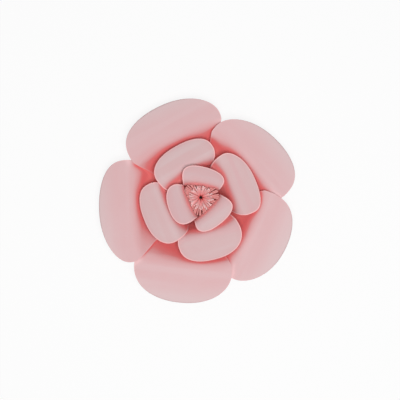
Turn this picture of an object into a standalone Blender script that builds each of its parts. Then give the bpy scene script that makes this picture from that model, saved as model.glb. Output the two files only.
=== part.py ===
"""Giant paper flower, 300 mm across: three rings of curled card petals round a fringed, rolled centre.

The flower lies on its back. Its back card rests on z = 0, its petals open towards +Z, and the middle of
the back card is the origin. Each petal is one sheet of card: a flat tab glued on the back card, a bend, a
straight wall that rises outward, a soft curl, and a wide brim that droops a little at its rim. In every ring the
petals overlap like a pinwheel: each one lies over the next one counter-clockwise.
"""
import math
import random

import bmesh
import bpy
from mathutils import Vector

MM = 0.001

# Card stock and the clearance that glued layers keep
CARD_THICKNESS = 0.45 * MM
LAYER_GAP = 0.3 * MM

# Back card, which reaches past the outer petals' tabs by a margin
BACK_CARD_THICKNESS = 1.6 * MM
BACK_CARD_MARGIN = 6 * MM
BACK_CARD_SIDES = 56

# Strip that is wound into the centre: its thickness, its first turn's radius and the step to each next turn
STRIP_THICKNESS = 0.35 * MM
ROLL_CORE_RADIUS = 2.2 * MM
ROLL_PITCH = 0.95 * MM
ROLL_TURNS = 5.5
ROLL_RADIUS = ROLL_CORE_RADIUS + ROLL_PITCH * ROLL_TURNS
ROLL_SHIFT = (1.5 * MM, 2.1 * MM)
ROLL_ROOM = 1.5 * MM

# Fingers cut in the strip: upright above the slits' ends, then fanned out over the inner petals' curls. The
# outermost tips stand FAN_TIP_RISE above the inner petals' fold_height.
FINGER_WIDTH = 1.7 * MM
SLIT_WIDTH = 0.5 * MM
FINGER_UPRIGHT = 25 * MM
FINGER_FAN_LENGTH = 19 * MM
FINGER_LENGTH_SPREAD = 0.08
FAN_BEND_SHARE = 0.4
FAN_ROWS = 4
FAN_STEPS = 24
INNER_FAN_ANGLE = math.radians(32)
OUTER_FAN_ANGLE = math.radians(78)
FAN_SPREAD = math.radians(1.2)
FAN_TIP_RISE = -1.5 * MM
FAN_REST = 0.5 * MM
FAN_SEED = 7

# Colours, as linear values
CARD_PINK = (0.80, 0.47, 0.48)
CENTRE_PINK = (0.83, 0.46, 0.48)
BACK_PINK = (0.74, 0.43, 0.44)
CARD_ROUGHNESS = 0.85

# One entry per ring, outermost first. Lengths are in metres and angles in radians.
# tilt lifts a petal's counter-clockwise side and lowers the other, per metre of width, and tilt_inward is the
# share of it that also moves the wall. rim_fullness is the outline of the rim: 2 is an ellipse, more is squarer.
RINGS = {
    "outer": {
        "place": (0 * MM, 0 * MM),
        "tab_start": 8 * MM,
        "tab_end": 34 * MM,
        "tab_slope": 0.60,
        "bend_radius": 14 * MM,
        "curl_radius": 26 * MM,
        "fold": 90 * MM,
        "fold_height": 38 * MM,
        "reach": 152 * MM,
        "half_width": 72 * MM,
        "brim_angle": math.radians(-3),
        "rim_angle": math.radians(-24),
        "fold_width_share": 0.98,
        "rim_fullness": 2.1,
        "tilt": 0.045,
        "tilt_inward": 0.0,
        "cup": 4 * MM,
        "columns": 12,
    },
    "middle": {
        "place": (3.3 * MM, 3.0 * MM),
        "tab_start": 5 * MM,
        "tab_end": 22 * MM,
        "tab_slope": 0.82,
        "bend_radius": 7 * MM,
        "curl_radius": 20 * MM,
        "fold": 45 * MM,
        "fold_height": 50 * MM,
        "reach": 88 * MM,
        "half_width": 48 * MM,
        "brim_angle": math.radians(-3),
        "rim_angle": math.radians(-26),
        "fold_width_share": 0.93,
        "rim_fullness": 2.3,
        "tilt": 0.075,
        "tilt_inward": 1.0,
        "cup": 2.5 * MM,
        "columns": 10,
    },
    "inner": {
        "place": (3.5 * MM, 3.9 * MM),
        "tab_start": 3 * MM,
        "tab_end": ROLL_RADIUS + math.hypot(*ROLL_SHIFT) + ROLL_ROOM,
        "tab_slope": 1.35,
        "bend_radius": 2.5 * MM,
        "curl_radius": 13 * MM,
        "fold": 19.5 * MM,
        "fold_height": 61 * MM,
        "reach": 47.5 * MM,
        "half_width": 30.5 * MM,
        "brim_angle": math.radians(-2),
        "rim_angle": math.radians(-28),
        "fold_width_share": 0.85,
        "rim_fullness": 2.3,
        "tilt": 0.08,
        "tilt_inward": 1.0,
        "cup": 1.2 * MM,
        "columns": 8,
    },
}

# One entry per petal, counter-clockwise in its ring: the direction it faces in degrees, and its own sizes as
# shares of its ring's. Fold, reach and width are shares of the ring's fold, reach and half_width. Aside, how far
# its middle stands to the counter-clockwise side, and lean, how far its tip leans that way, are shares of
# half_width.
PETALS = {
    "outer": [
        {"facing": 117, "fold": 1.05, "reach": 1.016, "width": 1.021, "aside": -0.236, "lean": 0.069},
        {"facing": 180, "fold": 1.011, "reach": 0.98, "width": 1.069, "aside": 0.2, "lean": -0.118},
        {"facing": 264, "fold": 1.017, "reach": 1.02, "width": 1.028, "aside": -0.153, "lean": -0.014},
        {"facing": 335, "fold": 0.939, "reach": 0.993, "width": 0.986, "aside": -0.167, "lean": 0.069},
        {"facing": 45, "fold": 0.994, "reach": 0.987, "width": 1.021, "aside": -0.181, "lean": -0.083},
    ],
    "middle": [
        {"facing": 120.5, "fold": 0.967, "reach": 0.983, "width": 1.031, "aside": -0.156, "lean": -0.031},
        {"facing": 202.5, "fold": 1.0, "reach": 1.006, "width": 0.99, "aside": -0.062, "lean": -0.042},
        {"facing": 285.5, "fold": 1.0, "reach": 1.051, "width": 1.021, "aside": -0.01, "lean": -0.021},
        {"facing": 24, "fold": 1.022, "reach": 1.0, "width": 1.031, "aside": -0.073, "lean": -0.125},
    ],
    "inner": [
        {"facing": 77, "fold": 1.026, "reach": 1.0, "width": 1.033, "aside": 0.066, "lean": 0.033},
        {"facing": 199.5, "fold": 0.974, "reach": 1.021, "width": 1.0, "aside": -0.066, "lean": 0.0},
        {"facing": 311, "fold": 1.051, "reach": 1.011, "width": 1.016, "aside": -0.039, "lean": 0.033},
    ],
}

# The shoulder, a petal's widest place, as a share of the way from its curl to its tip
SHOULDER_SHARE = 0.04

# How the sheet droops from its curl to its rim, and where across it the cup crosses the flat sheet
DROOP_POWER = 1.6
CUP_LEVEL = 0.35
BRIM_CUP_SHARE = 0.2
TILT_FULL_SHARE = 0.6

# Rows of the grid along each stretch of a petal
TAB_ROWS = 1
BEND_ROWS = 2
WALL_ROWS = 2
CURL_ROWS = 4
BRIM_ROWS = 4
PROFILE_STEP = 0.25 * MM


def smooth(value):
    """Ease from 0 to 1 with no slope at either end."""
    value = min(max(value, 0.0), 1.0)
    return value * value * (3.0 - 2.0 * value)


def wall_run(ring, slope, base_height):
    """Distance out and wall length that a wall of this slope needs to bring the curl to its height."""
    bend = ring["bend_radius"]
    curl = ring["curl_radius"]
    rise = ring["fold_height"] - base_height
    rise -= bend * (1.0 - math.cos(slope))
    rise -= curl * (math.cos(ring["brim_angle"]) - math.cos(slope))
    length = rise / math.sin(slope)
    out = ring["tab_end"] + bend * math.sin(slope) + length * math.cos(slope)
    out += curl * (math.sin(slope) - math.sin(slope / 2))
    return out, length


def find_wall(ring, fold_distance, base_height):
    """Slope and length of the wall whose curl stands at the fold distance."""
    low = math.radians(15)
    high = math.radians(100)
    for _ in range(50):
        middle = (low + high) / 2
        if wall_run(ring, middle, base_height)[0] > fold_distance:
            low = middle
        else:
            high = middle
    return middle, wall_run(ring, middle, base_height)[1]


class Petal:
    """One sheet of card, measured along v from the inner end of its tab and across it by q from -1 to 1."""

    def __init__(self, ring, petal, base_height):
        self.ring = ring
        self.base_height = base_height
        self.facing = math.radians(petal["facing"])
        self.half_width = petal["width"] * ring["half_width"]
        self.aside = petal["aside"] * ring["half_width"]
        self.lean = petal["lean"] * ring["half_width"]
        self.fold = petal["fold"] * ring["fold"]
        self.reach = petal["reach"] * ring["reach"]
        slope, wall_length = find_wall(ring, self.fold, base_height)
        self.slope = slope
        self.bend_start = ring["tab_end"] - ring["tab_start"]
        self.wall_start = self.bend_start + ring["bend_radius"] * slope
        self.curl_start = self.wall_start + wall_length
        self.curl_end = self.curl_start + ring["curl_radius"] * (slope - ring["brim_angle"])
        self.draw_profile()

    def angle_at(self, v):
        """Direction of the sheet's centre line above the horizontal, at v."""
        ring = self.ring
        if v < self.bend_start:
            return 0.0
        if v < self.wall_start:
            return self.slope * (v - self.bend_start) / (self.wall_start - self.bend_start)
        if v < self.curl_start:
            return self.slope
        if v < self.curl_end:
            share = (v - self.curl_start) / (self.curl_end - self.curl_start)
            return self.slope + (ring["brim_angle"] - self.slope) * share
        share = (v - self.curl_end) / (self.reach - self.fold)
        return ring["brim_angle"] + (ring["rim_angle"] - ring["brim_angle"]) * share ** DROOP_POWER

    def draw_profile(self):
        """Walk along the sheet from the tab until the centre line reaches the petal's tip."""
        out = self.ring["tab_start"]
        height = self.base_height
        v = 0.0
        self.profile = [(out, height)]
        while out < self.reach:
            angle = self.angle_at(v + PROFILE_STEP / 2)
            out += PROFILE_STEP * math.cos(angle)
            height += PROFILE_STEP * math.sin(angle)
            v += PROFILE_STEP
            self.profile.append((out, height))
        self.length = v
        self.shoulder = self.curl_end + SHOULDER_SHARE * (self.length - self.curl_end)

    def profile_at(self, v):
        """Distance out and height of the centre line at v."""
        place = min(max(v / PROFILE_STEP, 0.0), float(len(self.profile) - 1))
        index = min(int(place), len(self.profile) - 2)
        share = place - index
        first = self.profile[index]
        second = self.profile[index + 1]
        return (first[0] + (second[0] - first[0]) * share, first[1] + (second[1] - first[1]) * share)

    def half_width_at(self, v):
        """Half the sheet's width: a wedge on the tab, wider up the wall, full at the shoulder."""
        ring = self.ring
        tab_width = ring["tab_slope"] * ring["tab_end"]
        fold_width = self.half_width * ring["fold_width_share"]
        fold_v = (self.curl_start + self.curl_end) / 2
        if v < self.bend_start:
            return ring["tab_slope"] * (ring["tab_start"] + v)
        if v < fold_v:
            share = (v - self.bend_start) / (fold_v - self.bend_start)
            return tab_width + (fold_width - tab_width) * share
        share = min((v - fold_v) / (self.shoulder - fold_v), 1.0)
        return fold_width + (self.half_width - fold_width) * math.sin(share * math.pi / 2)

    def point(self, q, v):
        """World place of the sheet's middle surface."""
        ring = self.ring
        out, height = self.profile_at(v)
        angle = self.angle_at(v)
        half_width = self.half_width_at(v)
        rise = smooth((v - self.bend_start) / (TILT_FULL_SHARE * (self.curl_end - self.bend_start)))
        brim = smooth((v - self.curl_start) / (self.shoulder - self.curl_start))
        tip = smooth((v - self.shoulder) / (self.length - self.shoulder))
        across = q * half_width
        cup = rise * ring["cup"] * (1.0 - (1.0 - BRIM_CUP_SHARE) * brim) * (q * q - CUP_LEVEL)
        tilt = rise * ring["tilt"] * across
        sideways = across + self.aside * smooth(v / self.curl_end) + self.lean * tip
        out -= (cup + tilt * ring["tilt_inward"]) * math.sin(angle)
        height += (cup + tilt) * math.cos(angle)
        cosine = math.cos(self.facing)
        sine = math.sin(self.facing)
        x = ring["place"][0] + out * cosine - sideways * sine
        y = ring["place"][1] + out * sine + sideways * cosine
        return Vector((x, y, height))

    def stations(self):
        """Rows of the grid up to the end of the curl."""
        rows = [0.0]
        spans = [
            (TAB_ROWS, self.bend_start),
            (BEND_ROWS, self.wall_start),
            (WALL_ROWS, self.curl_start),
            (CURL_ROWS, self.curl_end),
        ]
        for count, end in spans:
            start = rows[-1]
            for step in range(1, count + 1):
                rows.append(start + (end - start) * step / count)
        return rows

    def grid_point(self, column_share, row):
        """Place of a grid corner. Rows past the curl close up towards the rim's outline."""
        theta = (column_share - 0.5) * math.pi
        power = 2.0 / self.ring["rim_fullness"]
        q = math.copysign(abs(math.sin(theta)) ** power, theta)
        rows = self.stations()
        if row < len(rows):
            return self.point(q, rows[row])
        share = (row - len(rows) + 1) / BRIM_ROWS
        end = self.shoulder + (self.length - self.shoulder) * abs(math.cos(theta)) ** power
        return self.point(q, self.curl_end + (end - self.curl_end) * share)


def make_material(name, colour, roughness=CARD_ROUGHNESS):
    """A matte card colour."""
    material = bpy.data.materials.new(name)
    material.use_nodes = True
    shader = material.node_tree.nodes["Principled BSDF"]
    shader.inputs["Base Color"].default_value = (*colour, 1.0)
    shader.inputs["Roughness"].default_value = roughness
    shader.inputs["Metallic"].default_value = 0.0
    material.diffuse_color = (*colour, 1.0)
    return material


def add_object(name, bm, material, collection):
    """Turn a bmesh into a named object."""
    mesh = bpy.data.meshes.new(name)
    bm.to_mesh(mesh)
    bm.free()
    mesh.materials.append(material)
    mesh.shade_smooth()
    thing = bpy.data.objects.new(name, mesh)
    collection.objects.link(thing)
    return thing


def add_card(thing, thickness):
    """Give an open sheet its thickness, half to each side."""
    solidify = thing.modifiers.new("card", "SOLIDIFY")
    solidify.thickness = thickness
    solidify.offset = 0.0
    solidify.use_even_offset = False


def make_back_card(material, collection):
    """Round card that all the tabs are glued on."""
    radius = RINGS["outer"]["tab_end"] + BACK_CARD_MARGIN
    bm = bmesh.new()
    bmesh.ops.create_cone(
        bm,
        cap_ends=True,
        segments=BACK_CARD_SIDES,
        radius1=radius,
        radius2=radius,
        depth=BACK_CARD_THICKNESS,
    )
    thing = add_object("back_card", bm, material, collection)
    thing.location.z = BACK_CARD_THICKNESS / 2
    thing.data.set_sharp_from_angle(angle=math.radians(40))
    return thing


def make_petal(name, petal, columns, material, collection):
    """Grid of one petal, shaped by its formula and given its thickness."""
    row_count = len(petal.stations()) - 1 + BRIM_ROWS
    bm = bmesh.new()
    bmesh.ops.create_grid(bm, x_segments=columns, y_segments=row_count, size=0.5)
    for vertex in bm.verts:
        column_share = vertex.co.x + 0.5
        row = round((vertex.co.y + 0.5) * row_count)
        vertex.co = petal.grid_point(column_share, row)
    thing = add_object(name, bm, material, collection)
    add_card(thing, CARD_THICKNESS)
    return thing


def fringe_room(azimuth):
    """Distance from the roll's axis at which a finger comes to rest over an inner petal's curl."""
    tilt = RINGS["inner"]["tilt"]
    room = math.inf
    for petal in PETALS["inner"]:
        facing = math.radians(petal["facing"])
        towards = math.cos(azimuth - facing) + tilt * math.sin(azimuth - facing)
        shift = ROLL_SHIFT[0] * math.cos(facing) + ROLL_SHIFT[1] * math.sin(facing)
        if towards > 0:
            fold = petal["fold"] * RINGS["inner"]["fold"]
            room = min(room, (fold - shift + FAN_REST) / towards)
    return room


def fan_shape(angle, along):
    """Distance out and up of a finger that bends smoothly to its fan angle, at a share of its length."""
    out = 0.0
    up = 0.0
    for step in range(FAN_STEPS):
        share = along * (step + 0.5) / FAN_STEPS
        bend = angle * min(share / FAN_BEND_SHARE, 1.0)
        out += math.sin(bend) * along / FAN_STEPS
        up += math.cos(bend) * along / FAN_STEPS
    return out, up


def widest_fan(azimuth):
    """Fan angle of the outermost turn in a direction, where its fingers reach just over the petal there."""
    room = fringe_room(azimuth) - ROLL_RADIUS
    angle = OUTER_FAN_ANGLE
    while angle > INNER_FAN_ANGLE and FINGER_FAN_LENGTH * fan_shape(angle, 1.0)[0] > room:
        angle -= math.radians(1)
    return angle


def spiral_length(turns):
    """Length of the strip that this many turns take."""
    sweep = turns * math.tau
    return ROLL_CORE_RADIUS * sweep + ROLL_PITCH * sweep * sweep / (2 * math.tau)


def spiral_sweep(length):
    """Angle that this length of strip has turned through."""
    rate = ROLL_PITCH / math.tau
    return (math.sqrt(ROLL_CORE_RADIUS ** 2 + 2 * rate * length) - ROLL_CORE_RADIUS) / rate


def make_fringed_centre(base_height, material, collection):
    """One strip: cut into fingers along its top, wound from the middle out, and its fingers fanned."""
    pitch = FINGER_WIDTH + SLIT_WIDTH
    finger_count = int(spiral_length(ROLL_TURNS) / pitch)
    columns = 2 * finger_count - 1
    row_count = 2 + FAN_ROWS
    bm = bmesh.new()
    bmesh.ops.create_grid(bm, x_segments=columns, y_segments=row_count, size=0.5)
    slits = []
    for face in bm.faces:
        centre = face.calc_center_median()
        column = int((centre.x + 0.5) * columns)
        row = int((centre.y + 0.5) * row_count)
        if column % 2 == 1 and row > 0:
            slits.append(face)
    bmesh.ops.delete(bm, geom=slits, context="FACES")

    chance = random.Random(FAN_SEED)
    fingers = []
    for index in range(finger_count):
        sweep = spiral_sweep(index * pitch + FINGER_WIDTH / 2)
        share = index / (finger_count - 1)
        length = FINGER_FAN_LENGTH * (1 + chance.uniform(-FINGER_LENGTH_SPREAD, FINGER_LENGTH_SPREAD))
        angle = INNER_FAN_ANGLE + (widest_fan(sweep) - INNER_FAN_ANGLE) * share
        angle += chance.uniform(-FAN_SPREAD, FAN_SPREAD)
        fingers.append((sweep, angle, length))

    inner_ring = RINGS["inner"]
    centre_x = inner_ring["place"][0] + ROLL_SHIFT[0]
    centre_y = inner_ring["place"][1] + ROLL_SHIFT[1]
    fan_height = inner_ring["fold_height"] + FAN_TIP_RISE
    fan_height -= FINGER_FAN_LENGTH * fan_shape(OUTER_FAN_ANGLE, 1.0)[1]
    heights = [base_height, fan_height - FINGER_UPRIGHT]
    for vertex in bm.verts:
        edge = round((vertex.co.x + 0.5) * columns)
        row = round((vertex.co.y + 0.5) * row_count)
        index = edge // 2
        place = index * pitch + (edge % 2) * FINGER_WIDTH
        sweep = spiral_sweep(place)
        radius = ROLL_CORE_RADIUS + ROLL_PITCH * sweep / math.tau
        x = centre_x + radius * math.cos(sweep)
        y = centre_y + radius * math.sin(sweep)
        if row < len(heights):
            vertex.co = Vector((x, y, heights[row]))
            continue
        middle, angle, length = fingers[index]
        out, up = fan_shape(angle, (row - len(heights)) / FAN_ROWS)
        x += length * out * math.cos(middle)
        y += length * out * math.sin(middle)
        vertex.co = Vector((x, y, fan_height + length * up))
    thing = add_object("fringed_centre", bm, material, collection)
    add_card(thing, STRIP_THICKNESS)
    return thing


def build():
    """Glue the flower together from the back card up."""
    for item in list(bpy.data.objects):
        bpy.data.objects.remove(item, do_unlink=True)
    collection = bpy.data.collections.new("giant_paper_flower")
    bpy.context.scene.collection.children.link(collection)

    make_back_card(make_material("back_card", BACK_PINK), collection)
    height = BACK_CARD_THICKNESS
    for ring_name, ring in RINGS.items():
        height += LAYER_GAP + CARD_THICKNESS / 2
        for index, sizes in enumerate(PETALS[ring_name]):
            name = f"{ring_name}_petal_{index + 1}"
            petal = Petal(ring, sizes, height)
            make_petal(name, petal, ring["columns"], make_material(name, CARD_PINK), collection)
        height += CARD_THICKNESS / 2
    make_fringed_centre(height + LAYER_GAP, make_material("fringed_centre", CENTRE_PINK), collection)


build()
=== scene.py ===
"""Looks of the giant paper flower: curled card petals in three rings round a fringed, rolled centre.

The flower lies on its back on a white table and the camera looks straight down on it. Each petal is a fine
mesh of the same form as the frame's solid, dressed as matte pink card. The rolled strip stands where its
solid does, with finer fingers in a high and a low tier, and the back card keeps its solid. Lengths are in
metres and angles in radians where nothing else is said.
"""

import logging
import math
import random
from dataclasses import dataclass, field
from enum import Enum

import bmesh
import bpy
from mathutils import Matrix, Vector
from mathutils.bvhtree import BVHTree

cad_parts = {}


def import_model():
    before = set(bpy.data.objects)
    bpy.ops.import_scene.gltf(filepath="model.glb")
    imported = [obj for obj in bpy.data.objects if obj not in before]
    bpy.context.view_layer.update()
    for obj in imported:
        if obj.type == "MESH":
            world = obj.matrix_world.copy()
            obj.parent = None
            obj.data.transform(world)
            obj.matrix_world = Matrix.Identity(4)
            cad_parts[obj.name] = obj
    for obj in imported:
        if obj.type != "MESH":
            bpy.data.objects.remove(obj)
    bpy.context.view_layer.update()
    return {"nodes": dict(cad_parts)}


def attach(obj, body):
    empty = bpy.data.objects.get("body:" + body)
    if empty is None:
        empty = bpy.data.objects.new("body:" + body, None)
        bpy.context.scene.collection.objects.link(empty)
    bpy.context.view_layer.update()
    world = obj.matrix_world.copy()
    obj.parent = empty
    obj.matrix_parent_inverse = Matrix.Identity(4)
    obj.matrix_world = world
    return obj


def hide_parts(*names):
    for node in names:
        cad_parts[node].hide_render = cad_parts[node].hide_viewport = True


LOG = logging.getLogger("paper_flower")

Colour = tuple[float, float, float]
Span = tuple[float, float]

MM = 0.001
# Thickness of the petals' card, the clearance that stands for the glue, and thickness of the back card
CARD_THICKNESS = 0.45 * MM
LAYER_GAP = 0.3 * MM
BACK_CARD_THICKNESS = 1.6 * MM
# The roll: its inner radius, its turns and pitch in the solid, how far it stands from the inner ring's
# centre, and the clearance between it and the inner petals' bends
ROLL_CORE_RADIUS = 2.2 * MM
SOLID_TURNS = 5.5
SOLID_PITCH = 0.95 * MM
ROLL_SHIFT = (1.5 * MM, 2.1 * MM)
BEND_CLEARANCE = 1.5 * MM
# The values of the fibre noise between which fibres show
FIBRE_SPAN: Span = (0.3, 0.7)


class Ring(Enum):
    """The flower's three rings of petals."""

    OUTER = "outer"
    MIDDLE = "middle"
    INNER = "inner"


def srgb(red: int, green: int, blue: int) -> Colour:
    """Turn a colour as it is seen on a screen into linear values.

    Args:
        red: Red from 0 to 255.
        green: Green from 0 to 255.
        blue: Blue from 0 to 255.

    Returns:
        The linear colour.
    """
    values = []
    for channel in (red, green, blue):
        share = channel / 255
        values.append(share / 12.92 if share <= 0.04045 else ((share + 0.055) / 1.055) ** 2.4)
    return values[0], values[1], values[2]


def smooth(value: float) -> float:
    """Ease from 0 to 1 with no slope at either end."""
    value = min(max(value, 0.0), 1.0)
    return value * value * (3.0 - 2.0 * value)


class NodeSheet:
    """A material's node tree, with short ways to add and join nodes."""

    def __init__(self, name: str) -> None:
        """Start a material with a Principled shader.

        Args:
            name: The material's name.
        """
        self.material = bpy.data.materials.new(name)
        self.material.use_nodes = True
        self.nodes = self.material.node_tree.nodes
        self.links = self.material.node_tree.links
        self.shader = self.nodes["Principled BSDF"]

    def add(self, kind: str, **settings: object) -> bpy.types.Node:
        """Add a node.

        Args:
            kind: The node's type name.
            settings: Attributes to set on it.

        Returns:
            The new node.
        """
        node = self.nodes.new(kind)
        for key, value in settings.items():
            setattr(node, key, value)
        return node

    def join(self, source: bpy.types.NodeSocket, target: bpy.types.NodeSocket) -> None:
        """Link one socket to another."""
        self.links.new(source, target)

    def attribute(self, name: str) -> bpy.types.NodeSocket:
        """Read a value that the mesh holds at each point."""
        return self.add("ShaderNodeAttribute", attribute_name=name).outputs["Fac"]

    def ramp(self, value: bpy.types.NodeSocket, span: Span, low: float = 0.0, high: float = 1.0,
             kind: str = "SMOOTHSTEP") -> bpy.types.NodeSocket:
        """Map a value from one range to another.

        Args:
            value: The socket that gives the value.
            span: Where the input range starts and ends.
            low: What its start gives.
            high: What its end gives.
            kind: How the value runs between them.

        Returns:
            The socket with the mapped value.
        """
        node = self.add("ShaderNodeMapRange", interpolation_type=kind, clamp=True)
        self.join(value, node.inputs["Value"])
        node.inputs["From Min"].default_value = span[0]
        node.inputs["From Max"].default_value = span[1]
        node.inputs["To Min"].default_value = low
        node.inputs["To Max"].default_value = high
        return node.outputs["Result"]

    def mix(self, share: bpy.types.NodeSocket, first: object, second: object,
            blend: str = "MIX") -> bpy.types.NodeSocket:
        """Mix two colours.

        Args:
            share: The socket with the share of the second colour.
            first: A colour or a socket.
            second: A colour or a socket.
            blend: How they are mixed.

        Returns:
            The socket with the mixed colour.
        """
        node = self.add("ShaderNodeMix", data_type="RGBA", blend_type=blend)
        self.join(share, [item for item in node.inputs if item.type == "VALUE"][0])
        colour_inputs = [item for item in node.inputs if item.type == "RGBA"]
        for socket, colour in zip(colour_inputs, (first, second)):
            if isinstance(colour, bpy.types.NodeSocket):
                self.join(colour, socket)
            else:
                socket.default_value = (*colour, 1.0)
        return [item for item in node.outputs if item.type == "RGBA"][0]

    def noise(self, scale: float, detail: float = 2.0,
              vector: bpy.types.NodeSocket | None = None) -> bpy.types.NodeSocket:
        """Add noise in the object's own metres.

        Args:
            scale: Spots to the metre.
            detail: How many finer layers it has.
            vector: The place it is read at, or None for the object's own place.

        Returns:
            The socket with the noise from 0 to 1.
        """
        if vector is None:
            vector = self.add("ShaderNodeTexCoord").outputs["Object"]
        node = self.add("ShaderNodeTexNoise")
        node.inputs["Scale"].default_value = scale
        node.inputs["Detail"].default_value = detail
        self.join(vector, node.inputs["Vector"])
        return node.outputs["Fac"]

    def dress(self, colour: bpy.types.NodeSocket, roughness: float, specular: float = 0.5) -> None:
        """Give the shader its looks.

        Args:
            colour: The socket with its colour.
            roughness: How rough it is, from 0 to 1.
            specular: How strongly it reflects, where 0.5 is usual.
        """
        self.join(colour, self.shader.inputs["Base Color"])
        self.shader.inputs["Roughness"].default_value = roughness
        self.shader.inputs["Specular IOR Level"].default_value = specular

    def grain(self, scale: float, strength: float, depth: float) -> None:
        """Raise the surface with a fine grain.

        Args:
            scale: Grains to the metre.
            strength: How strong the relief is.
            depth: Height of the relief in metres.
        """
        bump = self.add("ShaderNodeBump")
        bump.inputs["Strength"].default_value = strength
        bump.inputs["Distance"].default_value = depth
        self.join(self.noise(scale, 3.0), bump.inputs["Height"])
        self.join(bump.outputs["Normal"], self.shader.inputs["Normal"])


@dataclass(frozen=True)
class CardFinish:
    """Matte dyed card with painted light and shade: plain on the brims, painted shade down the folds and
    between the petals, painted bounce light beside them and a painted highlight along the rim.

    A band is measured in from the rim or outward from the fold, and a closed span is a range of how closed in
    a point is. Each runs from where its colour starts to where it is full, and rim_highlight_band the other
    way.
    """

    name: str
    face: Colour
    # Painted light and shade streaks along the brims
    light_streak: Colour
    shade_streak: Colour
    # The coral of painted shade between the petals, also used for the mottle, the fibres and the pinker rim
    painted_shade_and_mottle: Colour
    # Painted shade deep in the gaps between petals
    painted_gap_shade: Colour
    # Painted glow of bounced light in the most closed-in places
    painted_gap_glow: Colour
    # Painted light that makes the brim paler toward its outer rim
    painted_outer_light: Colour
    # Painted bounce light on the brim just beyond the fold, where a neighbour closes it in
    painted_bounce_light: Colour
    # Painted highlight along the rim, where the cut edge catches the light
    painted_rim_highlight: Colour
    rim_highlight_share: float
    rim_blush: float
    rim_band: Span = (10 * MM, 1 * MM)
    rim_highlight_band: Span = (0.8 * MM, 2 * MM)
    wall_band: Span = (10 * MM, -3 * MM)
    outer_light_band: Span = (24 * MM, 70 * MM)
    bounce_light_band: Span = (6 * MM, 14 * MM)
    # Where painted shade grows toward the fold
    fold_shade_band: Span = (14 * MM, 2 * MM)
    bounce_light_closed: Span = (0.03, 0.25)
    wall_shade_closed: Span = (0.07, 0.36)
    deep_wall_shade_closed: Span = (0.27, 0.52)
    gap_glow_closed: Span = (0.62, 0.85)
    mottle_span: Span = (0.35, 0.65)
    light_streak_span: Span = (0.5, 0.66)
    shade_streak_span: Span = (0.5, 0.34)
    fold_shade_share: float = 0.2
    mottle_share: float = 0.05
    fibre_share: float = 0.06
    roughness: float = 0.86
    specular: float = 0.25

    def build(self) -> bpy.types.Material:
        """Make the material.

        Returns:
            The finished material.
        """
        sheet = NodeSheet(self.name)
        rim = sheet.attribute("rim")
        fold = sheet.attribute("fold")
        closed = sheet.attribute("closed")
        mottle = sheet.noise(scale=45.0, detail=3.0)
        fibre = sheet.noise(scale=900.0, detail=4.0)
        flat = sheet.add("ShaderNodeAttribute", attribute_name="flat").outputs["Vector"]
        streaks = sheet.noise(scale=1.0, detail=1.0, vector=flat)
        clouds = sheet.ramp(mottle, self.mottle_span, high=self.mottle_share)
        colour = sheet.mix(clouds, self.face, self.painted_shade_and_mottle)
        # Painted light and shade streaks parallel to the fold
        colour = sheet.mix(sheet.ramp(streaks, self.light_streak_span), colour, self.light_streak)
        colour = sheet.mix(sheet.ramp(streaks, self.shade_streak_span), colour, self.shade_streak)
        # Painted light, paler toward the outer rim
        colour = sheet.mix(sheet.ramp(fold, self.outer_light_band), colour, self.painted_outer_light)
        # Painted bounce light on the brim beside a neighbouring petal
        closed_brim = sheet.ramp(closed, self.bounce_light_closed)
        bounce_light = self.product(sheet, sheet.ramp(fold, self.bounce_light_band), closed_brim)
        colour = sheet.mix(bounce_light, colour, self.painted_bounce_light)
        # Painted shade growing toward the fold
        colour = sheet.mix(sheet.ramp(fold, self.fold_shade_band, high=self.fold_shade_share), colour, self.painted_shade_and_mottle)
        # Painted shade on the walls below the fold, where the sheets close each other in
        wall = sheet.ramp(fold, self.wall_band)
        wall_shade = self.product(sheet, wall, sheet.ramp(closed, self.wall_shade_closed, kind="LINEAR"))
        colour = sheet.mix(wall_shade, colour, self.painted_shade_and_mottle)
        # Deeper painted shade on the walls where the sheets close each other in most
        deep_wall_shade = self.product(sheet, wall, sheet.ramp(closed, self.deep_wall_shade_closed, kind="LINEAR"))
        colour = sheet.mix(deep_wall_shade, colour, self.painted_gap_shade)
        # Painted glow of bounced light where the sheets close each other in most
        colour = sheet.mix(sheet.ramp(closed, self.gap_glow_closed), colour, self.painted_gap_glow)
        near_rim = sheet.ramp(rim, self.rim_band, high=self.rim_blush, kind="LINEAR")
        colour = sheet.mix(near_rim, colour, self.painted_shade_and_mottle)
        # Painted highlight along the rim
        colour = sheet.mix(sheet.ramp(rim, self.rim_highlight_band, self.rim_highlight_share, 0.0), colour, self.painted_rim_highlight)
        colour = sheet.mix(sheet.ramp(fibre, FIBRE_SPAN, high=self.fibre_share), colour, self.painted_shade_and_mottle)
        sheet.dress(colour, self.roughness, self.specular)
        sheet.grain(scale=1400.0, strength=0.25, depth=0.06 * MM)
        return sheet.material

    def product(self, sheet: NodeSheet, first: bpy.types.NodeSocket,
                second: bpy.types.NodeSocket) -> bpy.types.NodeSocket:
        """Multiply two values.

        Args:
            sheet: The material's node tree.
            first: One value.
            second: The other value.

        Returns:
            The socket with their product.
        """
        node = sheet.add("ShaderNodeMath", operation="MULTIPLY")
        sheet.join(first, node.inputs[0])
        sheet.join(second, node.inputs[1])
        return node.outputs["Value"]


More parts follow.
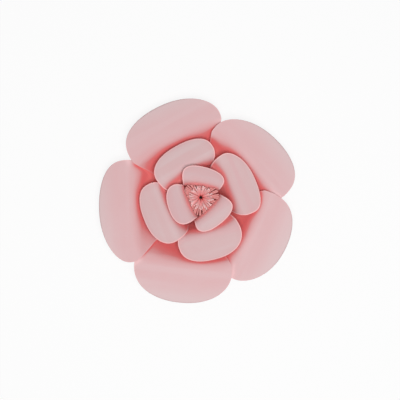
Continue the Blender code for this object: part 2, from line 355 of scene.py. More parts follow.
@dataclass(frozen=True)
class CutEdgeFinish:
    """The card's cut edge, lighter and rougher than its face, with painted shade where it is closed in."""

    name: str
    core: Colour
    face: Colour
    # Painted shade of the edge where it is closed in
    painted_gap_shade: Colour
    edge_shade_closed: Span = (0.1, 0.4)
    edge_shade_share: float = 0.9
    fibre_share: float = 0.4
    roughness: float = 0.95

    def build(self) -> bpy.types.Material:
        """Make the material.

        Returns:
            The finished material.
        """
        sheet = NodeSheet(self.name)
        fibre = sheet.noise(scale=1500.0, detail=3.0)
        closed = sheet.attribute("closed")
        colour = sheet.mix(sheet.ramp(fibre, FIBRE_SPAN, high=self.fibre_share), self.core, self.face)
        # Painted shade where the edge is closed in
        colour = sheet.mix(sheet.ramp(closed, self.edge_shade_closed, high=self.edge_shade_share), colour, self.painted_gap_shade)
        sheet.dress(colour, self.roughness)
        sheet.grain(scale=2500.0, strength=0.4, depth=0.08 * MM)
        return sheet.material


@dataclass(frozen=True)
class FringeFinish:
    """Card of the cut fingers, painted light at their tips and painted shade in the low tier and down in the
    roll.
    """

    name: str
    # Painted light at the tips, fading through the middle to painted shade at the root and deepest in the
    # roll
    tip: Colour
    middle: Colour
    root: Colour
    core: Colour
    # Painted shade of the low tier, under the high one
    low: Colour
    root_span: Span = (-0.3, 0.1)
    middle_span: Span = (0.1, 0.6)
    tip_span: Span = (0.55, 0.95)
    fibre_share: float = 0.08
    roughness: float = 0.86
    specular: float = 0.25

    def build(self) -> bpy.types.Material:
        """Make the material.

        Returns:
            The finished material.
        """
        sheet = NodeSheet(self.name)
        along = sheet.attribute("along")
        fibre = sheet.noise(scale=1100.0, detail=3.0)
        # Painted shade down the finger into the roll, painted light at its tip
        colour = sheet.mix(sheet.ramp(along, self.root_span), self.core, self.root)
        colour = sheet.mix(sheet.ramp(along, self.middle_span), colour, self.middle)
        colour = sheet.mix(sheet.ramp(along, self.tip_span), colour, self.tip)
        # Painted shade on the low tier
        colour = sheet.mix(sheet.attribute("low_tier"), colour, self.low)
        colour = sheet.mix(sheet.ramp(fibre, FIBRE_SPAN, high=self.fibre_share), colour, self.root)
        sheet.dress(colour, self.roughness, self.specular)
        sheet.grain(scale=1600.0, strength=0.2, depth=0.05 * MM)
        return sheet.material


@dataclass(frozen=True)
class BoardFinish:
    """Pink board of the back card, a little mottled."""

    name: str
    face: Colour
    fleck: Colour
    fleck_span: Span = (0.4, 0.7)
    fleck_share: float = 0.35
    roughness: float = 0.9

    def build(self) -> bpy.types.Material:
        """Make the material.

        Returns:
            The finished material.
        """
        sheet = NodeSheet(self.name)
        mottle = sheet.noise(scale=220.0, detail=5.0)
        colour = sheet.mix(sheet.ramp(mottle, self.fleck_span, high=self.fleck_share), self.face, self.fleck)
        sheet.dress(colour, self.roughness)
        sheet.grain(scale=900.0, strength=0.35, depth=0.1 * MM)
        return sheet.material


@dataclass(frozen=True)
class GroundFinish:
    """White table that keeps the flower's soft shadow, faint to the camera as in a bright studio."""

    name: str
    colour: Colour
    glow_share: float

    def build(self) -> bpy.types.Material:
        """Make the material.

        Returns:
            The finished material.
        """
        sheet = NodeSheet(self.name)
        sheet.shader.inputs["Base Color"].default_value = (*self.colour, 1.0)
        sheet.shader.inputs["Roughness"].default_value = 1.0
        sheet.shader.inputs["Specular IOR Level"].default_value = 0.0
        path = sheet.add("ShaderNodeLightPath")
        seen = sheet.add("ShaderNodeMath", operation="MAXIMUM")
        sheet.join(path.outputs["Is Camera Ray"], seen.inputs[0])
        sheet.join(path.outputs["Is Glossy Ray"], seen.inputs[1])
        share = sheet.add("ShaderNodeMath", operation="MULTIPLY")
        share.inputs[1].default_value = self.glow_share
        sheet.join(seen.outputs["Value"], share.inputs[0])
        white = sheet.add("ShaderNodeEmission")
        white.inputs["Color"].default_value = (1.0, 1.0, 1.0, 1.0)
        white.inputs["Strength"].default_value = 1.0
        both = sheet.add("ShaderNodeMixShader")
        sheet.join(share.outputs["Value"], both.inputs[0])
        sheet.join(sheet.shader.outputs["BSDF"], both.inputs[1])
        sheet.join(white.outputs["Emission"], both.inputs[2])
        sheet.join(both.outputs["Shader"], sheet.nodes["Material Output"].inputs["Surface"])
        return sheet.material


@dataclass(frozen=True)
class RingSizes:
    """What the petals of one ring share.

    The place is the ring's centre, and the tab, fold and reach are distances out from it. The tab's slope is
    its half width for each metre out. The tilt lifts the counter-clockwise side for each metre across, and
    tilt_inward is the share of it that also moves the wall. The cup lifts both sides. A rim_fullness of 2
    makes the rim an ellipse, and more makes it squarer.
    """

    place: tuple[float, float]
    tab_start: float
    tab_end: float
    tab_slope: float
    bend_radius: float
    curl_radius: float
    fold: float
    fold_height: float
    reach: float
    half_width: float
    brim_angle: float
    rim_angle: float
    fold_width_share: float
    rim_fullness: float
    tilt: float
    tilt_inward: float
    cup: float


@dataclass(frozen=True)
class PetalCut:
    """One petal: where it faces in degrees, its own sizes as shares of its ring's, and the turn of its shade.

    The turn is how far the shade at the fold slides outward on the petal's clockwise side and inward on the
    other, in metres.
    """

    facing: float
    fold: float
    reach: float
    width: float
    aside: float
    lean: float
    turn: float = 0.0


@dataclass
class PetalSheet:
    """One sheet of card, measured along v from the inner end of its tab and across by q from -1 to 1."""

    name: str
    ring: RingSizes
    cut: PetalCut
    base_height: float
    shoulder_share: float = 0.04
    droop_power: float = 1.6
    cup_level: float = 0.35
    brim_cup_share: float = 0.2
    tilt_full_share: float = 0.6
    fold_bow: float = 11 * MM
    fold_bow_power: int = 4
    wall_limits: Span = (math.radians(15), math.radians(100))
    wall_halvings: int = 50
    step: float = 0.25 * MM
    outline_step: float = 0.5 * MM
    outline_points: int = 420
    columns: int = 56
    stretch_rows: tuple[int, int, int, int] = (4, 6, 14, 14)
    brim_rows: int = 26
    # Scales of the painted streaks across and along the sheet
    bands_across: float = 4.0
    bands_along: float = 60.0
    thickness: float = CARD_THICKNESS
    profile: list[tuple[float, float]] = field(default_factory=list)

    def __post_init__(self) -> None:
        """Work out the wall that brings the curl to its place, and the sheet's stretches."""
        ring = self.ring
        self.facing = math.radians(self.cut.facing)
        self.fold = self.cut.fold * ring.fold
        self.reach = self.cut.reach * ring.reach
        self.half_width = self.cut.width * ring.half_width
        self.rim_power = 2.0 / ring.rim_fullness
        self.slope, wall_length = self.find_wall()
        self.bend_start = ring.tab_end - ring.tab_start
        self.wall_start = self.bend_start + ring.bend_radius * self.slope
        self.curl_start = self.wall_start + wall_length
        self.curl_end = self.curl_start + ring.curl_radius * (self.slope - ring.brim_angle)
        self.curl_middle = (self.curl_start + self.curl_end) / 2
        self.draw_profile()

    def wall_run(self, slope: float) -> tuple[float, float]:
        """Find how far out a wall of one slope carries the curl.

        Args:
            slope: The wall's angle above the table.

        Returns:
            The curl's distance out and the wall's length.
        """
        ring = self.ring
        rise = ring.fold_height - self.base_height
        rise -= ring.bend_radius * (1.0 - math.cos(slope))
        rise -= ring.curl_radius * (math.cos(ring.brim_angle) - math.cos(slope))
        length = rise / math.sin(slope)
        out = ring.tab_end + ring.bend_radius * math.sin(slope) + length * math.cos(slope)
        out += ring.curl_radius * (math.sin(slope) - math.sin(slope / 2))
        return out, length

    def find_wall(self) -> tuple[float, float]:
        """Find the wall whose curl stands at the fold.

        Returns:
            The wall's slope and length.
        """
        low, high = self.wall_limits
        middle = (low + high) / 2
        for _ in range(self.wall_halvings):
            middle = (low + high) / 2
            if self.wall_run(middle)[0] > self.fold:
                low = middle
            else:
                high = middle
        return middle, self.wall_run(middle)[1]

    def angle_at(self, v: float) -> float:
        """Find the direction of the sheet's centre line.

        Args:
            v: Distance along the sheet.

        Returns:
            Its angle above the table.
        """
        ring = self.ring
        if v < self.bend_start:
            return 0.0
        if v < self.wall_start:
            return self.slope * (v - self.bend_start) / (self.wall_start - self.bend_start)
        if v < self.curl_start:
            return self.slope
        if v < self.curl_end:
            share = (v - self.curl_start) / (self.curl_end - self.curl_start)
            return self.slope + (ring.brim_angle - self.slope) * share
        share = (v - self.curl_end) / (self.reach - self.fold)
        return ring.brim_angle + (ring.rim_angle - ring.brim_angle) * share ** self.droop_power

    def draw_profile(self) -> None:
        """Walk along the sheet from the tab until the centre line reaches the petal's tip."""
        out = self.ring.tab_start
        height = self.base_height
        v = 0.0
        self.profile = [(out, height)]
        while out < self.reach:
            angle = self.angle_at(v + self.step / 2)
            out += self.step * math.cos(angle)
            height += self.step * math.sin(angle)
            v += self.step
            self.profile.append((out, height))
        self.length = v
        self.shoulder = self.curl_end + self.shoulder_share * (self.length - self.curl_end)

    def profile_at(self, v: float) -> tuple[float, float]:
        """Read the centre line.

        Args:
            v: Distance along the sheet.

        Returns:
            Distance out and height.
        """
        place = min(max(v / self.step, 0.0), len(self.profile) - 1.001)
        index = int(place)
        share = place - index
        first = self.profile[index]
        second = self.profile[index + 1]
        return first[0] + (second[0] - first[0]) * share, first[1] + (second[1] - first[1]) * share

    def half_width_at(self, v: float) -> float:
        """Find half the sheet's width.

        Args:
            v: Distance along the sheet.

        Returns:
            Half the width: a wedge on the tab, wider up the wall, full at the shoulder.
        """
        ring = self.ring
        tab_width = ring.tab_slope * ring.tab_end
        fold_width = self.half_width * ring.fold_width_share
        if v < self.bend_start:
            return ring.tab_slope * (ring.tab_start + v)
        if v < self.curl_middle:
            share = (v - self.bend_start) / (self.curl_middle - self.bend_start)
            return tab_width + (fold_width - tab_width) * share
        share = min((v - self.curl_middle) / (self.shoulder - self.curl_middle), 1.0)
        return fold_width + (self.half_width - fold_width) * math.sin(share * math.pi / 2)

    def point(self, q: float, v: float) -> Vector:
        """Find a place on the sheet's middle surface.

        Args:
            q: Place across, from -1 to 1.
            v: Distance along the sheet.

        Returns:
            The place in the flower's frame.
        """
        ring = self.ring
        out, height = self.profile_at(v)
        angle = self.angle_at(v)
        rise = smooth((v - self.bend_start) / (self.tilt_full_share * (self.curl_end - self.bend_start)))
        brim = smooth((v - self.curl_start) / (self.shoulder - self.curl_start))
        tip = smooth((v - self.shoulder) / (self.length - self.shoulder))
        across = q * self.half_width_at(v)
        cup = rise * ring.cup * (1.0 - (1.0 - self.brim_cup_share) * brim) * (q * q - self.cup_level)
        tilt = rise * ring.tilt * across
        aside = self.cut.aside * smooth(v / self.curl_end) + self.cut.lean * tip
        sideways = across + aside * ring.half_width
        out -= (cup + tilt * ring.tilt_inward) * math.sin(angle)
        height += (cup + tilt) * math.cos(angle)
        cosine = math.cos(self.facing)
        sine = math.sin(self.facing)
        x = ring.place[0] + out * cosine - sideways * sine
        y = ring.place[1] + out * sine + sideways * cosine
        return Vector((x, y, height))

    def rows(self) -> list[float]:
        """List the rows of the grid up to the end of the curl.

        Returns:
            Distances along the sheet.
        """
        ends = (self.bend_start, self.wall_start, self.curl_start, self.curl_end)
        rows = [0.0]
        for count, end in zip(self.stretch_rows, ends):
            start = rows[-1]
            rows += [start + (end - start) * step / count for step in range(1, count + 1)]
        return rows

    def rim_end(self, theta: float) -> float:
        """Find how far along the sheet a column of the grid runs.

        Args:
            theta: The column's place on the rim's curve.

        Returns:
            Distance along the sheet.
        """
        return self.shoulder + (self.length - self.shoulder) * abs(math.cos(theta)) ** self.rim_power

    def across_at(self, theta: float) -> float:
        """Find a column's place across, from -1 to 1, from its place on the rim's curve."""
        return math.copysign(abs(math.sin(theta)) ** self.rim_power, theta)

    def build(self, face: bpy.types.Material, edge: bpy.types.Material) -> bpy.types.Object:
        """Make the petal's mesh and dress it.

        Args:
            face: Material of the card's two faces.
            edge: Material of its cut edge.

        Returns:
            The petal.
        """
        rows = self.rows()
        row_count = len(rows) - 1 + self.brim_rows
        outline = self.outline()
        bm = bmesh.new()
        bmesh.ops.create_grid(bm, x_segments=self.columns, y_segments=row_count, size=0.5)
        flat_layer = bm.verts.layers.float_vector.new("flat")
        rim_layer = bm.verts.layers.float.new("rim")
        fold_layer = bm.verts.layers.float.new("fold")
        turn_layer = bm.verts.layers.float.new("turn")
        for vertex in bm.verts:
            theta = vertex.co.x * math.pi
            row = round((vertex.co.y + 0.5) * row_count)
            q = self.across_at(theta)
            if row < len(rows):
                v = rows[row]
            else:
                share = (row - len(rows) + 1) / self.brim_rows
                v = self.curl_end + (self.rim_end(theta) - self.curl_end) * share
            flat = (q * self.half_width_at(v), v)
            bands = (flat[0] * self.bands_across, (v - self.curl_end) * self.bands_along, self.cut.facing)
            bow = self.fold_bow * abs(q) ** self.fold_bow_power
            vertex[flat_layer] = Vector(bands)
            vertex[rim_layer] = min(math.dist(flat, place) for place in outline)
            vertex[turn_layer] = self.cut.turn * q
            vertex[fold_layer] = v - self.curl_middle + bow + vertex[turn_layer]
            vertex.co = self.point(q, v)
        mesh = bpy.data.meshes.new(self.name)
        bm.to_mesh(mesh)
        bm.free()
        mesh.shade_smooth()
        mesh.materials.append(face)
        mesh.materials.append(edge)
        petal = bpy.data.objects.new(self.name, mesh)
        bpy.context.scene.collection.objects.link(petal)
        card = petal.modifiers.new("card", "SOLIDIFY")
        card.thickness = self.thickness
        card.offset = 0.0
        card.material_offset_rim = 1
        return petal

    def outline(self) -> list[tuple[float, float]]:
        """List points close together along the sheet's cut outline, from the curl outward.

        Returns:
            Places across and along the flat sheet.
        """
        places = []
        for side in (-1.0, 1.0):
            v = self.wall_start
            while v < self.shoulder:
                places.append((side * self.half_width_at(v), v))
                v += self.outline_step
        for index in range(self.outline_points + 1):
            theta = (index / self.outline_points - 0.5) * math.pi
            places.append((self.across_at(theta) * self.half_width, self.rim_end(theta)))
        return places


@dataclass
class PetalRing:
    """One ring of petals, each lying over the next one counter-clockwise."""

    kind: Ring
    sizes: RingSizes
    cuts: list[PetalCut]
    base_height: float
    finish: CardFinish
    edge: CutEdgeFinish

    def build(self) -> list[bpy.types.Object]:
        """Make the ring's petals, each in place of its solid.

        Returns:
            The petals.
        """
        face = self.finish.build()
        edge = self.edge.build()
        petals = []
        for index, cut in enumerate(self.cuts):
            node = f"{self.kind.value}_petal_{index + 1}"
            petal = PetalSheet(f"{node}_sheet", self.sizes, cut, self.base_height).build(face, edge)
            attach(petal, "root")
            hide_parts(node)
            LOG.info("%s stands for %s", petal.name, node)
            petals.append(petal)
        return petals


@dataclass
class FringedCentre:
    """One strip cut into fingers along its top and wound from the middle out.

    Its fingers are fanned open: the inner turns' in a high tier, and the outer turns' in a low tier that runs
    out to the inner petals' walls.
    """

    base_height: float
    rest_ring: RingSizes
    rest_petals: list[PetalCut]
    finish: FringeFinish
    thickness: float = 0.35 * MM
    core_radius: float = ROLL_CORE_RADIUS
    pitch: float = 0.43 * MM
    turns: float = 12.0
    shift: tuple[float, float] = ROLL_SHIFT
    finger_width: float = 1.95 * MM
    slit_width: float = 0.25 * MM
    upright: float = 25 * MM
    fan_length: float = 21 * MM
    length_spread: float = 0.08
    bend_share: float = 0.4
    inner_angle: float = math.radians(42)
    outer_angle: float = math.radians(78)
    angle_spread: float = math.radians(1.2)
    high_share: float = 0.45
    fringe_radius: float = 21.5 * MM
    bowl_radius: float = 27.0 * MM
    taper: float = 0.3
    low_angle: float = math.radians(81)
    low_droop: float = math.radians(12)
    low_wall: float = 3.3 * MM
    tip_rise: float = -1.5 * MM
    rest: float = 0.5 * MM
    seed: int = 7
    finger_columns: int = 2
    fan_rows: int = 12
    bend_steps: int = 24
    angle_step: float = math.radians(1)
    tier_end: float = 1 / 3

    def fan_shape(self, angle: float, along: float) -> tuple[float, float]:
        """Follow a finger that bends smoothly to its fan angle.

        Args:
            angle: The fan angle from upright.
            along: Share of the finger's length.

        Returns:
            Distance out and up, for a finger of length 1.
        """
        out = 0.0
        up = 0.0
        for step in range(self.bend_steps):
            share = along * (step + 0.5) / self.bend_steps
            bend = angle * min(share / self.bend_share, 1.0)
            out += math.sin(bend) * along / self.bend_steps
            up += math.cos(bend) * along / self.bend_steps
        return out, up

    def room(self, azimuth: float, most: float, short: float = 0.0) -> float:
        """Find how far a finger reaches before it rests over an inner petal's curl.

        Args:
            azimuth: Direction from the roll's axis.
            most: How far it reaches where nothing is in its way.
            short: How far it stops before the curl.

        Returns:
            Distance from the axis.
        """
        room = most
        for petal in self.rest_petals:
            facing = math.radians(petal.facing)
            turn = azimuth - facing
            towards = math.cos(turn) + self.rest_ring.tilt * math.sin(turn)
            shift = self.shift[0] * math.cos(facing) + self.shift[1] * math.sin(facing)
            if towards > 0:
                room = min(room, (petal.fold * self.rest_ring.fold - shift + self.rest - short) / towards)
        return room

    def widest_fan(self, azimuth: float) -> float:
        """Find the outermost turn's fan angle.

        Args:
            azimuth: Direction from the roll's axis.

        Returns:
            The angle at which its fingers reach just over the petal there.
        """
        room = self.room(azimuth, self.fringe_radius) - self.core_radius - self.pitch * self.turns
        angle = self.outer_angle
        while angle > self.inner_angle and self.fan_length * self.fan_shape(angle, 1.0)[0] > room:
            angle -= self.angle_step
        return angle

    def sweep_at(self, length: float) -> float:
        """Find the angle that this length of strip has turned through."""
        rate = self.pitch / math.tau
        return (math.sqrt(self.core_radius ** 2 + 2 * rate * length) - self.core_radius) / rate

    def fingers(self) -> list[tuple[float, float, float, bool]]:
        """List the fingers from the middle out.

        Returns:
            Each finger's direction, fan angle and length, and whether it lies in the low tier.
        """
        sweep = self.turns * math.tau
        strip = self.core_radius * sweep + self.pitch * sweep * sweep / (2 * math.tau)
        step = self.finger_width + self.slit_width
        count = int(strip / step)
        chance = random.Random(self.seed)
        found = []
        for index in range(count):
            middle = self.sweep_at(index * step + self.finger_width / 2)
            spread = 1 + chance.uniform(-self.length_spread, self.length_spread)
            share = index / ((count - 1) * self.high_share)
            if share > 1.0:
                room = self.room(middle, self.bowl_radius, self.low_wall)
                room -= self.core_radius + self.pitch * middle / math.tau
                angle = self.low_angle + self.low_droop * (index / (count - 1) - self.high_share)
                length = room / self.fan_shape(angle, 1.0)[0]
                found.append((middle, angle, length, True))
                continue
            angle = self.inner_angle + (self.widest_fan(middle) - self.inner_angle) * share
            angle += chance.uniform(-self.angle_spread, self.angle_spread)
            found.append((middle, angle, self.fan_length * spread, False))
        return found

    def build(self) -> bpy.types.Object:
        """Make the rolled strip and dress it.

        Returns:
            The fringed centre.
        """
        fingers = self.fingers()
        width = self.finger_columns
        period = width + 1
        columns = period * len(fingers) - 1
        fan_height = self.rest_ring.fold_height + self.tip_rise
        fan_height -= self.fan_length * self.fan_shape(self.outer_angle, 1.0)[1]
        heights = [self.base_height, fan_height - self.upright, fan_height - self.upright / 2, fan_height]
        row_count = len(heights) - 1 + self.fan_rows
        bm = bmesh.new()
        bmesh.ops.create_grid(bm, x_segments=columns, y_segments=row_count, size=0.5)
        slits = []
        for face in bm.faces:
            centre = face.calc_center_median()
            column = int((centre.x + 0.5) * columns)
            row = int((centre.y + 0.5) * row_count)
            if column % period == width and row > 0:
                slits.append(face)
        bmesh.ops.delete(bm, geom=slits, context="FACES")
        along_layer = bm.verts.layers.float.new("along")
        tier_layer = bm.verts.layers.float.new("low_tier")
        centre_x = self.rest_ring.place[0] + self.shift[0]
        centre_y = self.rest_ring.place[1] + self.shift[1]
        for vertex in bm.verts:
            edge = round((vertex.co.x + 0.5) * columns)
            row = round((vertex.co.y + 0.5) * row_count)
            index = edge // period
            middle, angle, length, low = fingers[index]
            along = max(row - len(heights) + 1, 0) / self.fan_rows
            vertex[tier_layer] = smooth(along / self.tier_end) if low else 0.0
            place = index * (self.finger_width + self.slit_width) + self.finger_width / 2
            narrowing = 1.0 if low else 1.0 - self.taper * along
            place += ((edge % period) / width - 0.5) * self.finger_width * narrowing
            sweep = self.sweep_at(place)
            radius = self.core_radius + self.pitch * sweep / math.tau
            x = centre_x + radius * math.cos(sweep)
            y = centre_y + radius * math.sin(sweep)
            if row < len(heights):
                vertex.co = Vector((x, y, heights[row]))
                vertex[along_layer] = (heights[row] - fan_height) / self.upright
                continue
            out, up = self.fan_shape(angle, along)
            x += length * out * math.cos(middle)
            y += length * out * math.sin(middle)
            vertex.co = Vector((x, y, fan_height + length * up))
            vertex[along_layer] = along
        mesh = bpy.data.meshes.new("fringed_roll")
        bm.to_mesh(mesh)
        bm.free()
        mesh.shade_smooth()
        mesh.materials.append(self.finish.build())
        roll = bpy.data.objects.new("fringed_roll", mesh)
        bpy.context.scene.collection.objects.link(roll)
        card = roll.modifiers.new("card", "SOLIDIFY")
        card.thickness = self.thickness
        card.offset = 0.0
        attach(roll, "root")
        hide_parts("fringed_centre")
        LOG.info("fringed_roll has %d fingers", len(fingers))
        return roll


@dataclass
class Crowding:
    """Measures how much the sheets close each other in, which sets the painted shade and glow between them.
    """

    sheets: list[bpy.types.Object]
    directions: int = 160
    reach: float = 70 * MM
    lift: float = 0.6 * MM
    smoothing: int = 3
    turn_reach: float = 15 * MM

    def sphere(self) -> list[Vector]:
        """Spread directions evenly over a sphere.

        Returns:
            The directions.
        """
        golden = math.pi * (3 - math.sqrt(5))
        found = []
        for index in range(self.directions):
            up = 1 - 2 * (index + 0.5) / self.directions
            across = math.sqrt(1 - up * up)
            found.append(Vector((across * math.cos(golden * index), across * math.sin(golden * index), up)))
        return found

    def tree(self) -> BVHTree:
        """Gather every sheet into one search tree.

        Returns:
            The tree.
        """
        places = []
        polygons = []
        for sheet in self.sheets:
            start = len(places)
            places += [vertex.co.copy() for vertex in sheet.data.vertices]
            polygons += [[start + index for index in face.vertices] for face in sheet.data.polygons]
        return BVHTree.FromPolygons(places, polygons)

    def measure(self) -> None:
        """Store on each petal how closed in each of its points is, from 0 in the open to 1."""
        tree = self.tree()
        directions = self.sphere()
        for sheet in self.sheets:
            if "rim" not in sheet.data.attributes:
                continue
            mesh = sheet.data
            side = 1.0 if sum(vertex.normal.z for vertex in mesh.vertices) > 0 else -1.0
            values = []
            for vertex in mesh.vertices:
                normal = vertex.normal * side
                start = vertex.co + normal * self.lift
                whole = 0.0
                shut = 0.0
                for direction in directions:
                    facing = normal.dot(direction)
                    if facing > 0:
                        whole += facing
                        if tree.ray_cast(start, direction, self.reach)[0] is not None:
                            shut += facing
                values.append(shut / whole)
            for _ in range(self.smoothing):
                values = self.soften(mesh, values)
            turns = [item.value for item in mesh.attributes["turn"].data]
            values = [value * (1 - turn / self.turn_reach) for value, turn in zip(values, turns)]
            layer = mesh.attributes.new("closed", "FLOAT", "POINT")
            layer.data.foreach_set("value", values)

    def soften(self, mesh: bpy.types.Mesh, values: list[float]) -> list[float]:
        """Even the values out between neighbouring points.

        Args:
            mesh: The petal's mesh.
            values: A value for each point.

        Returns:
            The softened values.
        """
        sums = list(values)
        counts = [1] * len(values)
        for edge in mesh.edges:
            first, second = edge.vertices
            sums[first] += values[second]
            sums[second] += values[first]
            counts[first] += 1
            counts[second] += 1
        return [total / count for total, count in zip(sums, counts)]


@dataclass
class BackCard:
    """The round card at the back, which keeps its solid."""

    node: bpy.types.Object
    finish: BoardFinish

    def dress(self) -> None:
        """Give the solid its finish."""
        material = self.finish.build()
        for slot in self.node.material_slots:
            slot.material = material
        LOG.info("%s dressed", self.node.name)


@dataclass
class Studio:
    """White table, a soft lamp high over it and a camera straight above the flower."""

    ground: GroundFinish
    sky_strength: float = 0.3
    key_power: float = 20.0
    key_size: float = 0.8
    key_place: tuple[float, float, float] = (0.11, -0.22, 1.75)
    camera_height: float = 1.542
    view_height: float = 42 * MM
    view_width: float = 600 * MM
    sensor: float = 36.0
    centre_pixel: tuple[float, float] = (197.5, 201.4)
    frame_pixels: float = 400.0
    table_size: float = 6.0

    def build(self) -> None:
        """Set up the table, the light, the camera and the view."""
        bpy.ops.mesh.primitive_plane_add(size=self.table_size, location=(0.0, 0.0, 0.0))
        table = bpy.context.active_object
        table.name = "table"
        table.data.materials.append(self.ground.build())
        world = bpy.data.worlds.new("soft_sky")
        world.use_nodes = True
        background = world.node_tree.nodes["Background"]
        background.inputs["Color"].default_value = (1.0, 1.0, 1.0, 1.0)
        path = world.node_tree.nodes.new("ShaderNodeLightPath")
        strength = world.node_tree.nodes.new("ShaderNodeMapRange")
        strength.inputs["To Min"].default_value = self.sky_strength
        strength.inputs["To Max"].default_value = 1.0
        world.node_tree.links.new(path.outputs["Is Camera Ray"], strength.inputs["Value"])
        world.node_tree.links.new(strength.outputs["Result"], background.inputs["Strength"])
        bpy.context.scene.world = world
        self.add_key()
        self.add_camera()
        bpy.context.scene.view_settings.view_transform = "Standard"

    def add_key(self) -> None:
        """Hang a large soft lamp over the flower."""
        lamp = bpy.data.lights.new("front_softbox", "AREA")
        lamp.shape = "DISK"
        lamp.size = self.key_size
        lamp.energy = self.key_power
        holder = bpy.data.objects.new("front_softbox", lamp)
        holder.location = self.key_place
        holder.rotation_euler = (-Vector(self.key_place)).to_track_quat("-Z", "Y").to_euler()
        bpy.context.scene.collection.objects.link(holder)

    def add_camera(self) -> None:
        """Put the camera straight above, so that the flower's middle falls on its pixel."""
        pixel = self.view_width / self.frame_pixels
        middle = self.frame_pixels / 2
        camera = bpy.data.cameras.new("camera")
        camera.sensor_width = self.sensor
        camera.lens = self.sensor * (self.camera_height - self.view_height) / self.view_width
        holder = bpy.data.objects.new("camera", camera)
        holder.location = (
            (middle - self.centre_pixel[0]) * pixel,
            (self.centre_pixel[1] - middle) * pixel,
            self.camera_height,
        )
        bpy.context.scene.collection.objects.link(holder)
        bpy.context.scene.camera = holder


def outer_ring() -> tuple[RingSizes, list[PetalCut]]:
    """Give the sizes of the outer ring.

    Returns:
        What its petals share, and each petal's own sizes.
    """
    sizes = RingSizes(
        place=(0.0, 0.0),
        tab_start=8 * MM,
        tab_end=34 * MM,
        tab_slope=0.60,
        bend_radius=14 * MM,
        curl_radius=26 * MM,
        fold=90 * MM,
        fold_height=38 * MM,
        reach=152 * MM,
        half_width=72 * MM,
        brim_angle=math.radians(-3),
        rim_angle=math.radians(-24),
        fold_width_share=0.98,
        rim_fullness=2.1,
        tilt=0.045,
        tilt_inward=0.0,
        cup=4 * MM,
    )
    cuts = [
        PetalCut(facing=117, fold=1.05, reach=1.016, width=1.049, aside=-0.208, lean=0.069, turn=-3 * MM),
        PetalCut(facing=180, fold=1.011, reach=0.98, width=1.069, aside=0.2, lean=-0.118, turn=9 * MM),
        PetalCut(facing=264, fold=1.017, reach=1.02, width=1.028, aside=-0.153, lean=-0.014),
        PetalCut(facing=335, fold=0.939, reach=0.993, width=0.986, aside=-0.167, lean=0.069, turn=-5 * MM),
        PetalCut(facing=45, fold=0.994, reach=0.987, width=1.021, aside=-0.181, lean=-0.083, turn=-5 * MM),
    ]
    return sizes, cuts


def middle_ring() -> tuple[RingSizes, list[PetalCut]]:
    """Give the sizes of the middle ring.

    Returns:
        What its petals share, and each petal's own sizes.
    """
    sizes = RingSizes(
        place=(3.3 * MM, 3.0 * MM),
        tab_start=5 * MM,
        tab_end=22 * MM,
        tab_slope=0.82,
        bend_radius=7 * MM,
        curl_radius=20 * MM,
        fold=45 * MM,
        fold_height=50 * MM,
        reach=88 * MM,
        half_width=48 * MM,
        brim_angle=math.radians(-3),
        rim_angle=math.radians(-26),
        fold_width_share=0.93,
        rim_fullness=2.3,
        tilt=0.075,
        tilt_inward=1.0,
        cup=2.5 * MM,
    )
    cuts = [
        PetalCut(facing=120.5, fold=0.967, reach=0.983, width=1.021, aside=-0.171, lean=-0.031, turn=-4 * MM),
        PetalCut(facing=202.5, fold=1.0, reach=1.006, width=0.99, aside=-0.062, lean=-0.042, turn=3 * MM),
        PetalCut(facing=285.5, fold=1.0, reach=1.051, width=1.01, aside=-0.02, lean=-0.035, turn=-3 * MM),
        PetalCut(facing=24, fold=1.022, reach=1.0, width=1.021, aside=-0.031, lean=-0.135, turn=-6 * MM),
    ]
    return sizes, cuts


def inner_ring() -> tuple[RingSizes, list[PetalCut]]:
    """Give the sizes of the inner ring, whose bends go round the solid's roll.

    Returns:
        What its petals share, and each petal's own sizes.
    """
    roll_radius = ROLL_CORE_RADIUS + SOLID_TURNS * SOLID_PITCH
    sizes = RingSizes(
        place=(3.5 * MM, 3.9 * MM),
        tab_start=3 * MM,
        tab_end=roll_radius + math.hypot(*ROLL_SHIFT) + BEND_CLEARANCE,
        tab_slope=1.35,
        bend_radius=2.5 * MM,
        curl_radius=13 * MM,
        fold=19.5 * MM,
        fold_height=61 * MM,
        reach=47.5 * MM,
        half_width=30.5 * MM,
        brim_angle=math.radians(-2),
        rim_angle=math.radians(-28),
        fold_width_share=0.91,
        rim_fullness=2.3,
        tilt=0.08,
        tilt_inward=1.0,
        cup=1.2 * MM,
    )
    cuts = [
        PetalCut(facing=77, fold=1.118, reach=1.0, width=1.033, aside=0.066, lean=0.033),
        PetalCut(facing=199.5, fold=0.974, reach=1.021, width=1.0, aside=-0.066, lean=0.0),
        PetalCut(facing=311, fold=1.118, reach=1.011, width=1.049, aside=-0.007, lean=0.033),
    ]
    return sizes, cuts


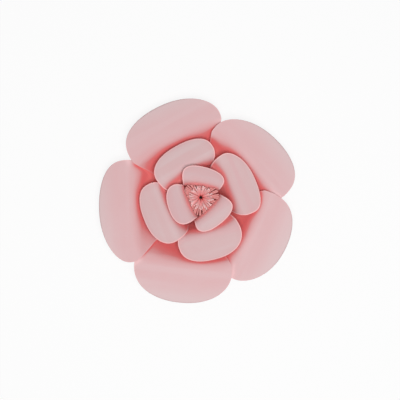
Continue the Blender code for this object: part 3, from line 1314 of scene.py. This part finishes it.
def card_finish(kind: Ring) -> CardFinish:
    """Choose the card's colours for a ring.

    Args:
        kind: The ring.

    Returns:
        Its finish.
    """
    # Besides its face colour, each ring holds colours of painted light and shade: streaks, coral shade, gap
    # shade and glow, a paler outer brim, bounce light and a share of rim highlight
    choices = {
        Ring.OUTER: {
            "face": srgb(229, 190, 192),
            "light_streak": srgb(230, 193, 195),
            "shade_streak": srgb(229, 188, 190),
            "painted_shade_and_mottle": srgb(225, 135, 135),
            "painted_gap_shade": srgb(234, 110, 110),
            "painted_gap_glow": srgb(246, 124, 122),
            "painted_outer_light": srgb(231, 205, 206),
            "painted_bounce_light": srgb(243, 204, 206),
            "rim_highlight_share": 0.2,
            "rim_blush": 0.0,
        },
        Ring.MIDDLE: {
            "face": srgb(221, 188, 189),
            "light_streak": srgb(222, 194, 195),
            "shade_streak": srgb(222, 183, 185),
            "painted_shade_and_mottle": srgb(218, 142, 142),
            "painted_gap_shade": srgb(238, 124, 124),
            "painted_gap_glow": srgb(255, 146, 144),
            "painted_outer_light": srgb(221, 190, 191),
            "painted_bounce_light": srgb(226, 190, 192),
            "rim_highlight_share": 0.9,
            "rim_blush": 0.12,
        },
        Ring.INNER: {
            "face": srgb(218, 185, 187),
            "light_streak": srgb(219, 191, 192),
            "shade_streak": srgb(219, 181, 183),
            "painted_shade_and_mottle": srgb(228, 152, 152),
            "painted_gap_shade": srgb(248, 154, 154),
            "painted_gap_glow": srgb(255, 180, 178),
            "painted_outer_light": srgb(218, 185, 187),
            "painted_bounce_light": srgb(224, 188, 190),
            "rim_highlight_share": 0.9,
            "rim_blush": 0.14,
        },
    }
    # Every ring shares the colour of the painted rim highlight
    return CardFinish(name=f"{kind.value}_card", painted_rim_highlight=srgb(255, 200, 200), **choices[kind])


def main() -> None:
    """Build the flower, dress it and light it."""
    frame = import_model()
    edge = CutEdgeFinish(
        name="card_cut_edge",
        core=srgb(250, 190, 190),
        face=srgb(236, 178, 180),
        # Painted shade of the edge where it is closed in
        painted_gap_shade=srgb(196, 108, 110),
    )
    sheets = []
    height = BACK_CARD_THICKNESS
    rings = {Ring.OUTER: outer_ring(), Ring.MIDDLE: middle_ring(), Ring.INNER: inner_ring()}
    for kind, (sizes, cuts) in rings.items():
        base_height = height + LAYER_GAP + CARD_THICKNESS / 2
        sheets += PetalRing(kind, sizes, cuts, base_height, card_finish(kind), edge).build()
        height += LAYER_GAP + CARD_THICKNESS
    fringe = FringeFinish(
        name="fringe_card",
        # Painted light at the tips, painted shade down into the roll and on the low tier
        tip=srgb(255, 212, 211),
        middle=srgb(250, 178, 177),
        root=srgb(240, 130, 128),
        core=srgb(250, 60, 60),
        low=srgb(228, 152, 149),
    )
    inner_sizes, inner_cuts = rings[Ring.INNER]
    sheets.append(FringedCentre(height + LAYER_GAP, inner_sizes, inner_cuts, fringe).build())
    Crowding(sheets).measure()
    board = BoardFinish(name="back_board", face=srgb(222, 182, 184), fleck=srgb(210, 165, 168))
    BackCard(frame["nodes"]["back_card"], board).dress()
    Studio(GroundFinish(name="white_table", colour=(0.95, 0.95, 0.95), glow_share=0.85)).build()


if __name__ == "__main__":
    logging.basicConfig(level=logging.INFO, format="%(message)s")
    main()
